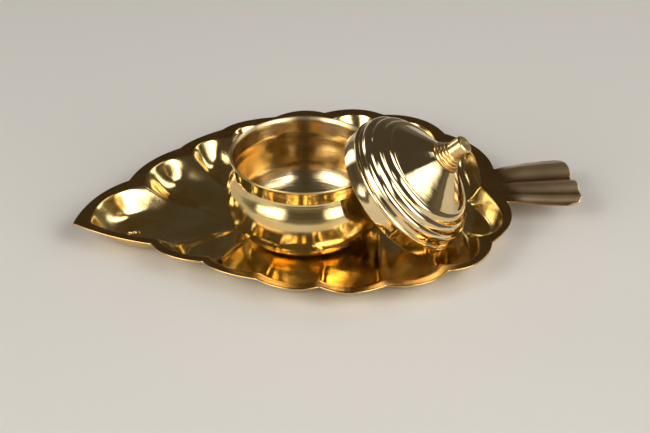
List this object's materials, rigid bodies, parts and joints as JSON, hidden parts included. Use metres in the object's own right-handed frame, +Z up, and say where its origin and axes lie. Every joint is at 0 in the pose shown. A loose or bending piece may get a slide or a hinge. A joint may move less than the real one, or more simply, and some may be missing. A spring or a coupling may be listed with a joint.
{
  "type": "kumkum box",
  "caption": "Round brass pot with a ringed, knobbed lid leaning on it, standing on a leaf-shaped brass tray with a fluted stem.",
  "frame": {"origin": "on the surface that the tray stands on, under the axis of the bowl", "axes": "+Z up, +X along the leaf from its tip to its stem, -Y towards the side seen in the picture"},
  "size_m": [0.1947, 0.1337, 0.0484],
  "materials": {
    "tray_brass": "polished pressed sheet, duller on its flat rim",
    "bowl_brass": "mirror polished, spun",
    "lid_brass": "mirror polished, spun",
    "knob_brass": "turned and polished",
    "screw_brass": "turned, unpolished"
  },
  "bodies": {
    "tray": {"leaf_tray": "tray_brass"},
    "bowl": {"bowl": "bowl_brass"},
    "lid": {"lid_shell": "lid_brass", "lid_knob": "knob_brass", "knob_screw": "screw_brass", "knob_washer": "screw_brass"}
  },
  "joints": [
    {"name": "bowl_lift", "type": "slide", "parent": "tray", "child": "bowl", "axis": [0, 0, 1], "range_m": [0, 0.05]},
    {"name": "lid_lift", "type": "slide", "parent": "bowl", "child": "lid", "axis": [0, 0, 1], "range_m": [0, 0.06]}
  ]
}
